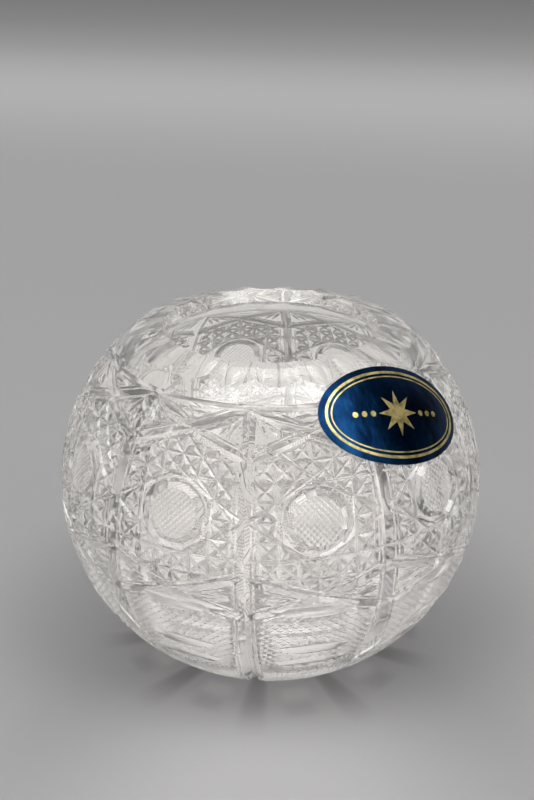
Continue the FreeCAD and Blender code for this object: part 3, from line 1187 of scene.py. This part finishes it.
class Effects:
    """Node groups for the effects that the finishes and the studio share."""

    made: dict[str, bpy.types.NodeTree] = {}
    oval_edge: Spot = (1.35, 0.65)

    @classmethod
    def new(
        cls, name: str, inputs: tuple[tuple[str, str], ...]
    ) -> tuple[bpy.types.NodeTree, Nodes, bpy.types.Node]:
        """An empty group with a number as its output.

        Args:
            name: The group's name.
            inputs: Name and kind of each input.

        Returns:
            The group, its node helper and its input node.
        """
        tree = bpy.data.node_groups.new(name, "ShaderNodeTree")
        for label, kind in inputs:
            tree.interface.new_socket(label, in_out="INPUT", socket_type=f"NodeSocket{kind}")
        tree.interface.new_socket("Value", in_out="OUTPUT", socket_type="NodeSocketFloat")
        nodes = Nodes(tree)
        cls.made[name] = tree
        return tree, nodes, nodes.add("NodeGroupInput")

    @classmethod
    def uneven(cls) -> bpy.types.NodeTree:
        """Noise between two values: Low + (High - Low) * noise of Place times Stretch.

        Returns:
            The group.
        """
        if "uneven" in cls.made:
            return cls.made["uneven"]
        sockets = (("Place", "Vector"), ("Stretch", "Vector"), ("Scale", "Float"), ("Detail", "Float"))
        tree, nodes, inner = cls.new("uneven", sockets + (("Low", "Float"), ("High", "Float")))
        stretch = nodes.add("ShaderNodeMapping")
        nodes.feed(stretch, Vector=inner.outputs["Place"], Scale=inner.outputs["Stretch"])
        noise = nodes.add("ShaderNodeTexNoise")
        nodes.feed(noise, Vector=stretch.outputs["Vector"])
        nodes.feed(noise, Scale=inner.outputs["Scale"], Detail=inner.outputs["Detail"])
        low, high = inner.outputs["Low"], inner.outputs["High"]
        spread = nodes.math("MULTIPLY", noise.outputs["Fac"], nodes.math("SUBTRACT", high, low))
        nodes.link(nodes.math("ADD", spread, low), nodes.add("NodeGroupOutput").inputs["Value"])
        return tree

    @classmethod
    def oval(cls) -> bpy.types.NodeTree:
        """A soft oval patch of light on the sky.

        It is Strength times a smooth step of (Direction . Across)^2 + (Direction . Rise)^2, where
        Across and Rise are as long as one over the sine of the patch's half size, and it is
        nothing where Direction . Middle is negative. The step starts and is full at oval_edge.

        Returns:
            The group.
        """
        if "oval" in cls.made:
            return cls.made["oval"]
        vectors = tuple((name, "Vector") for name in ("Direction", "Middle", "Across", "Rise"))
        tree, nodes, inner = cls.new("oval", vectors + (("Strength", "Float"),))
        way = inner.outputs["Direction"]
        parts = [nodes.vector("DOT_PRODUCT", way, inner.outputs[name]) for name in ("Across", "Rise")]
        spread = nodes.math("ADD", *(nodes.math("MULTIPLY", part, part) for part in parts))
        ahead = nodes.math("GREATER_THAN", nodes.vector("DOT_PRODUCT", way, inner.outputs["Middle"]), 0.0)
        lit = nodes.math("MULTIPLY", nodes.step(spread, *cls.oval_edge), ahead)
        result = nodes.math("MULTIPLY", lit, inner.outputs["Strength"])
        nodes.link(result, nodes.add("NodeGroupOutput").inputs["Value"])
        return tree


def new_material(name: str) -> tuple[bpy.types.Material, Nodes, bpy.types.Node]:
    """A material with a Principled shader.

    Args:
        name: The material's name.

    Returns:
        The material, its node helper and the shader.
    """
    material = bpy.data.materials.new(name)
    material.use_nodes = True
    nodes = Nodes(material.node_tree)
    return material, nodes, material.node_tree.nodes["Principled BSDF"]


@dataclass(frozen=True)
class CrystalFinish:
    """Lead crystal: polished cuts with a faint warm tint, and finely ground nets and lace.

    Each surface keeps the shade share of the light that goes straight on to the floor.
    """

    tint: Colour = (1.0, 0.985, 0.965)
    index: float = 1.545
    clearness: float = 0.94
    polish: float = 0.002
    haze: float = 0.012
    haze_scale: float = 140.0
    matt: float = 0.22
    shade: float = 0.24

    def material(self) -> bpy.types.Material:
        """The crystal's material.

        Its roughness goes from polish to polish + haze with fine noise, plus matt times the bowl's
        own attribute for how far each face is ground.

        Returns:
            The material.
        """
        material, nodes, shader = new_material("lead_crystal")
        nodes.feed(shader, Base_Color=(*self.tint, 1.0), Transmission_Weight=self.clearness, IOR=self.index)
        rough = nodes.group(
            Effects.uneven(),
            Place=nodes.place(),
            Stretch=EVEN,
            Scale=self.haze_scale,
            Detail=FINE,
            Low=self.polish,
            High=self.polish + self.haze,
        )
        ground = nodes.add("ShaderNodeAttribute", attribute_name="ground")
        rough = nodes.math("MULTIPLY_ADD", ground.outputs["Fac"], self.matt, rough)
        nodes.link(rough, shader.inputs["Roughness"])
        rays = nodes.add("ShaderNodeLightPath")
        light = nodes.math("MULTIPLY", rays.outputs["Is Shadow Ray"], 1.0 - self.shade)
        nodes.link(nodes.math("SUBTRACT", 1.0, light), shader.inputs["Alpha"])
        return material


@dataclass(frozen=True)
class GumFinish:
    """Clear gum with small bubbles that dull it here and there."""

    tint: Colour = (0.90, 0.89, 0.84)
    index: float = 1.48
    clearness: float = 0.7
    bubble_scale: float = 900.0
    dullness: float = 0.4

    def material(self) -> bpy.types.Material:
        """The gum's material: its roughness grows with the distance from the bubbles' middles.

        Returns:
            The material.
        """
        material, nodes, shader = new_material("clear_gum")
        nodes.feed(shader, Base_Color=(*self.tint, 1.0), Transmission_Weight=self.clearness, IOR=self.index)
        cells = nodes.add("ShaderNodeTexVoronoi")
        nodes.feed(cells, Vector=nodes.place(), Scale=self.bubble_scale)
        rough = nodes.math("MULTIPLY", cells.outputs["Distance"], self.dullness)
        nodes.link(rough, shader.inputs["Roughness"])
        return material


@dataclass(frozen=True)
class FoilFinish:
    """Dark blue metallic foil: fine brushed grain, cloudy lacquer and faint ripples of its paper."""

    deep: Colour = (0.0020, 0.0095, 0.034)
    bright: Colour = (0.0065, 0.046, 0.135)
    deep_share: float = 0.36
    bright_share: float = 0.70
    upright: Colour = (1.0, 1.0, 0.12)
    cloud_scale: float = 170.0
    cloud_detail: float = 4.0
    ripple_scale: float = 210.0
    grain_scale: float = 2600.0
    smoothest: float = 0.13
    roughest: float = 0.33
    grain_relief: float = 0.5
    relief: float = 0.30
    relief_height: float = 0.0006

    def material(self) -> bpy.types.Material:
        """The foil's material.

        The grain is noise that is stretched upright, and it changes the roughness and tilts the
        surface. The cloud is coarse noise that mixes the deep and the bright blue.

        Returns:
            The material.
        """
        material, nodes, shader = new_material("blue_foil")
        place = nodes.place()

        def noise(scale: float, detail: float, low: float, high: float) -> Socket:
            """Noise on the foil, stretched upright, between two values."""
            values = {"Scale": scale, "Detail": detail, "Low": low, "High": high}
            return nodes.group(Effects.uneven(), Place=place, Stretch=self.upright, **values)

        cloud = noise(self.cloud_scale, self.cloud_detail, 0.0, 1.0)
        blue = nodes.blend(cloud, (self.deep_share, self.deep), (self.bright_share, self.bright))
        rough = noise(self.grain_scale, FINE, self.smoothest, self.roughest)
        ripple = noise(self.ripple_scale, FINE, 0.0, 1.0)
        bump = nodes.add("ShaderNodeBump")
        height = nodes.math("ADD", ripple, nodes.math("MULTIPLY", rough, self.grain_relief))
        nodes.feed(bump, Strength=self.relief, Distance=self.relief_height, Height=height)
        nodes.feed(shader, Base_Color=blue, Metallic=1.0, Roughness=rough)
        nodes.link(bump.outputs["Normal"], shader.inputs["Normal"])
        return material


@dataclass(frozen=True)
class GoldFinish:
    """Hot-stamped gold with a slightly uneven lay."""

    dark: Colour = (0.30, 0.24, 0.08)
    light: Colour = (0.74, 0.62, 0.26)
    dark_share: float = 0.3
    light_share: float = 0.6
    lay_scale: float = 500.0
    metal: float = 0.8
    roughness: float = 0.35

    def material(self) -> bpy.types.Material:
        """The gold print's material: noise mixes the dark and the light gold.

        Returns:
            The material.
        """
        material, nodes, shader = new_material("gold_print")
        values = {"Scale": self.lay_scale, "Detail": FINE, "Low": 0.0, "High": 1.0}
        lay = nodes.group(Effects.uneven(), Place=nodes.place(), Stretch=EVEN, **values)
        gold = nodes.blend(lay, (self.dark_share, self.dark), (self.light_share, self.light))
        nodes.feed(shader, Base_Color=gold, Metallic=self.metal, Roughness=self.roughness)
        return material


@dataclass(frozen=True)
class FoilLabel:
    """The oval label: its gum, foil and gold print keep their CAD solids and get their finishes."""

    gum: GumFinish = GumFinish()
    foil: FoilFinish = FoilFinish()
    gold: GoldFinish = GoldFinish()

    def dress(self) -> list[bpy.types.Object]:
        """Gives each solid of the label its finish.

        Returns:
            The label's objects.
        """
        finishes = {Slot.GUM: self.gum, Slot.FOIL: self.foil, Slot.GOLD: self.gold}
        materials = {slot: finish.material() for slot, finish in finishes.items()}
        pieces = []
        for node, slot in LABEL_NODES.items():
            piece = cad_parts[node]
            piece.data.materials.clear()
            piece.data.materials.append(materials[slot])
            pieces.append(piece)
        return pieces


@dataclass(frozen=True)
class PaintedShadowAndCaustics:
    """Painted shadow and painted caustic light on the floor, standing for what the cuts throw, as a factor
    on its grey.

    Dark tongues lie where the cosine of panels times the angle round the axis nears one, pale loops
    and dark beans where it nears minus one, a shade lies round the foot and a pool of light in
    front. Each adds its amount to one. A pair says where a part starts and where it is full: by that
    cosine for a wave, and in metres for the rest.
    """

    panels: float = 10.0
    tongue: float = -0.30
    tongue_wave: Spot = (0.45, 1.0)
    tongue_radius: Spot = (0.056, 0.034)
    loop: float = 0.15
    loop_wave: Spot = (0.1, -0.9)
    loop_radius: float = 0.0355
    loop_reach: Spot = (0.0040, 0.0008)
    bean: float = -0.12
    bean_wave: Spot = (-0.2, -1.0)
    bean_radius: float = 0.0425
    bean_reach: Spot = (0.0040, 0.0010)
    pool: float = 0.33
    pool_distance: float = 0.082
    pool_reach: Spot = (0.075, 0.012)
    shade: float = -0.20
    shade_radius: Spot = (0.105, 0.052)

    def factor(self, nodes: Nodes, place: Socket, front: Colour) -> Socket:
        """Works out the factor.

        Args:
            nodes: Helper of the floor's material.
            place: Object coordinates.
            front: Level unit vector from the bowl to its front.

        Returns:
            The factor.
        """
        split = nodes.add("ShaderNodeSeparateXYZ")
        nodes.link(place, split.inputs[0])
        back = nodes.math("MULTIPLY", split.outputs["Y"], -1.0)
        turn = nodes.math("ARCTAN2", split.outputs["X"], back)
        wave = nodes.math("COSINE", nodes.math("MULTIPLY", turn, self.panels))
        radius = nodes.vector("LENGTH", place)
        away = nodes.vector("DISTANCE", place, tuple(c * self.pool_distance for c in front))
        pool = nodes.step(away, *self.pool_reach)
        loop_ring = nodes.ring(radius, self.loop_radius, self.loop_reach)
        bean_ring = nodes.ring(radius, self.bean_radius, self.bean_reach)
        parts = (
            (self.tongue, nodes.step(wave, *self.tongue_wave), nodes.step(radius, *self.tongue_radius)),
            (self.loop, nodes.step(wave, *self.loop_wave), loop_ring),
            (self.bean, nodes.step(wave, *self.bean_wave), bean_ring),
            (self.pool, pool, 1.0),
            (self.shade, nodes.step(radius, *self.shade_radius), nodes.math("SUBTRACT", 1.0, pool)),
        )
        total: Socket | float = 1.0
        for amount, first, second in parts:
            weight = nodes.math("MULTIPLY", first, second)
            total = nodes.math("ADD", nodes.math("MULTIPLY", weight, amount), total)
        return total


@dataclass
class Studio:
    """Floor, light and camera at the photograph's viewing angle."""

    target_height: float
    distance: float = 330.0
    elevation: float = 27.55
    azimuth: float = 6.35
    lens: float = 50.9
    film_height: float = 36.0
    near_clip: float = 0.01
    pitch: float = 3.73
    yaw: float = 0.19

    # Strength of the light from all round, the least that a part of it has, and what the camera sees
    surround: float = 0.40
    least: float = 0.02
    backdrop: float = 0.35
    sky_tint: Colour = (1.0, 0.99, 0.98)

    # The floor: its half width in metres, how far its greys turn to the right, and its finish
    floor_half: float = 6.0
    sweep_tilt: float = 0.2
    floor_tint: Colour = (1.0, 0.995, 1.015)
    floor_roughness: float = 0.6
    floor_gloss: float = 0.2
    # Painted shadow and caustic light of the bowl on the floor
    painted_shadow_and_caustics: PaintedShadowAndCaustics = PaintedShadowAndCaustics()

    # Painted glow: how much light the floor gives off, seen only through the glass: far from the bowl, near
    # it, and more in a ring round the foot, but only a share of that under the foot
    painted_glow_far: float = 0.30
    painted_glow_near: float = 0.35
    painted_glow_foot: float = 0.42
    under_share: float = 0.3
    painted_glow_tint: Colour = (1.0, 0.985, 0.97)

    # Where in metres from the axis the near painted glow starts to fade and has faded, where the ring lies
    # and how far from there it ends and is full, and where the painted glow under the foot starts and is
    # full
    near_radius: Spot = (0.05, 0.16)
    ring_radius: float = 0.045
    ring_reach: Spot = (0.024, 0.010)
    under_radius: Spot = (0.019, 0.027)

    # Grey of the floor at distances behind the bowl, in metres, from the first distance on: painted falloff
    # of the studio light, with a pale band about a metre behind the bowl and darker further off
    grey_span: float = 3.0
    floor_greys: tuple[tuple[float, float], ...] = (
        (-0.3, 0.37),
        (0.25, 0.315),
        (0.62, 0.315),
        (0.78, 0.345),
        (0.98, 0.405),
        (1.18, 0.375),
        (1.45, 0.26),
        (1.85, 0.185),
        (2.6, 0.13),
    )

    # Patches of light: angle right of the camera, elevation, half width, half height, strength
    patches: tuple[tuple[float, float, float, float, float], ...] = (
        (0.0, 76.0, 38.0, 14.0, 3.75),
        (56.0, 46.0, 8.0, 27.0, 2.6),
        (-46.0, 56.0, 5.0, 10.0, 4.0),
        (180.0, 48.0, 55.0, 20.0, 0.35),
        (180.0, 4.0, 57.0, 11.0, -0.23),
        (-105.0, 10.0, 26.0, 12.0, -0.36),
        (100.0, 28.0, 26.0, 22.0, -0.36),
        (0.0, 40.0, 28.0, 18.0, -0.18),
    )

    def camera(self) -> None:
        """The camera.

        It stands at its distance from the middle of the widest ring, at its elevation and azimuth,
        and looks at that middle, turned by the small angles pitch and yaw.
        """
        side = np.array(self.bearing(0.0, self.elevation)) * self.distance
        data = bpy.data.cameras.new("camera")
        data.sensor_fit = "VERTICAL"
        data.sensor_height = self.film_height
        data.lens = self.lens
        data.clip_start = self.near_clip
        thing = bpy.data.objects.new("camera", data)
        thing.location = (side + np.array([0.0, 0.0, self.target_height])) * MM
        tilt = math.radians(90.0 - self.elevation + self.pitch)
        thing.rotation_euler = (tilt, 0.0, math.radians(self.azimuth) + math.radians(self.yaw))
        bpy.context.scene.collection.objects.link(thing)
        bpy.context.scene.camera = thing

    def bearing(self, side: float, height: float) -> tuple[float, float, float]:
        """Unit vector to a place given by its angle right of the camera and its elevation."""
        turn, lift = math.radians(self.azimuth + side), math.radians(height)
        return math.sin(turn) * math.cos(lift), -math.cos(turn) * math.cos(lift), math.sin(lift)

    def floor_grey(self, nodes: Nodes, place: Socket) -> Socket:
        """The floor's grey, which changes with the distance behind the bowl as painted falloff of the
        studio light.

        Args:
            nodes: Helper of the floor's material.
            place: Object coordinates.

        Returns:
            The grey as a colour.
        """
        turn = math.radians(self.azimuth)
        tilt = self.sweep_tilt
        way = (-math.sin(turn) + tilt * math.cos(turn), math.cos(turn) + tilt * math.sin(turn), 0.0)
        along = nodes.vector("DOT_PRODUCT", place, way)
        ramp = nodes.add("ShaderNodeValToRGB")
        ramp.color_ramp.interpolation = "B_SPLINE"
        stops = ramp.color_ramp.elements
        first = self.floor_greys[0][0]
        for number, (distance, grey) in enumerate(self.floor_greys):
            stop = stops[number] if number < 2 else stops.new(1.0)
            stop.position = (distance - first) / self.grey_span
            stop.color = (*(grey * part for part in self.floor_tint), 1.0)
        share = nodes.math("MULTIPLY_ADD", along, 1 / self.grey_span, -first / self.grey_span, clamp=True)
        nodes.link(share, ramp.inputs["Fac"])
        return ramp.outputs["Color"]

    def floor_painted_glow(self, nodes: Nodes, place: Socket) -> Socket:
        """Painted glow: light that the floor gives off, seen through the glass only.

        It is the near glow, which turns to the far one with the distance from the axis, plus the ring round
        the foot, and all of it times a share that is smaller under the foot.

        Args:
            nodes: Helper of the floor's material.
            place: Object coordinates.

        Returns:
            The strength, which is nothing for rays that haven't come through glass.
        """
        radius = nodes.vector("LENGTH", place)
        far = nodes.step(radius, *self.near_radius)
        lift = nodes.math("MULTIPLY_ADD", far, self.painted_glow_far - self.painted_glow_near, self.painted_glow_near)
        ring = nodes.ring(radius, self.ring_radius, self.ring_reach)
        lift = nodes.math("MULTIPLY_ADD", ring, self.painted_glow_foot, lift)
        clear = nodes.step(radius, *self.under_radius)
        share = nodes.math("MULTIPLY_ADD", clear, 1.0 - self.under_share, self.under_share)
        lift = nodes.math("MULTIPLY", share, lift)
        rays = nodes.add("ShaderNodeLightPath")
        return nodes.math("MULTIPLY", rays.outputs["Is Transmission Ray"], lift)

    def floor(self) -> None:
        """A large level floor with the bowl's painted shadow and caustic light on it."""
        half = self.floor_half
        corners = [(-half, -half, 0), (half, -half, 0), (half, half, 0), (-half, half, 0)]
        mesh = bpy.data.meshes.new("floor")
        mesh.from_pydata(corners, [], [(0, 1, 2, 3)])
        thing = bpy.data.objects.new("floor", mesh)
        bpy.context.scene.collection.objects.link(thing)
        material, nodes, shader = new_material("floor")
        place = nodes.place()
        # The floor's grey times the painted shadow and caustic light
        # Among the mix's sockets, inputs 6 and 7 and output 2 are the ones for colours
        cast = nodes.add("ShaderNodeMix", data_type="RGBA", blend_type="MULTIPLY")
        cast.inputs["Factor"].default_value = 1.0
        nodes.link(self.floor_grey(nodes, place), cast.inputs[6])
        nodes.link(self.painted_shadow_and_caustics.factor(nodes, place, self.bearing(0.0, 0.0)), cast.inputs[7])
        nodes.feed(shader, Base_Color=cast.outputs[2])
        nodes.feed(shader, Roughness=self.floor_roughness, Specular_IOR_Level=self.floor_gloss)
        # Painted glow of the floor, seen only through the glass
        lift = self.floor_painted_glow(nodes, place)
        nodes.feed(shader, Emission_Color=(*self.painted_glow_tint, 1.0), Emission_Strength=lift)
        mesh.materials.append(material)

    def light(self) -> None:
        """A soft studio all round: a dim surround with wide soft patches of light.

        Each patch is an oval round its middle, given by two vectors at right angles to it. The
        camera sees a plain backdrop instead, above the floor's edge.
        """
        world = bpy.data.worlds.new("studio")
        world.use_nodes = True
        nodes = Nodes(world.node_tree)
        way = nodes.add("ShaderNodeTexCoord").outputs["Generated"]
        level: Socket | float = self.surround
        for side, height, wide, tall, strength in self.patches:
            middle, rise = self.bearing(side, height), self.bearing(side, height + 90.0)
            across = np.cross(middle, rise) / math.sin(math.radians(wide))
            rise = np.array(rise) / math.sin(math.radians(tall))
            ways = {"Direction": way, "Middle": middle, "Across": tuple(across), "Rise": tuple(rise)}
            patch = nodes.group(Effects.oval(), **ways, Strength=strength)
            level = nodes.math("ADD", patch, level)
        background = world.node_tree.nodes["Background"]
        seen = nodes.add("ShaderNodeLightPath").outputs["Is Camera Ray"]
        lit = nodes.math("MAXIMUM", level, self.least)
        plain = nodes.math("MULTIPLY", nodes.math("SUBTRACT", self.backdrop, lit), seen)
        nodes.link(nodes.math("ADD", plain, lit), background.inputs["Strength"])
        background.inputs["Color"].default_value = (*self.sky_tint, 1.0)
        bpy.context.scene.world = world

    def build(self) -> None:
        """Sets up the whole studio."""
        self.camera()
        self.floor()
        self.light()
        bpy.context.scene.view_settings.view_transform = "Standard"


def main() -> None:
    """Builds the bowl, dresses the label and sets up the studio, and reports each piece."""
    logging.basicConfig(level=logging.INFO, format="%(message)s")
    low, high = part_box("crystal_bowl")
    wall = Wall(body_radius=(high[0] - low[0]) / 2 / MM, body_height=(high[2] - low[2]) / MM)
    bowl = CrystalBowl(wall).dress()
    LOG.info("bowl %s built", bowl.name)
    for piece in FoilLabel().dress():
        LOG.info("%s dressed", piece.name)
    Studio(target_height=wall.widest_height).build()


if __name__ == "__main__":
    main()
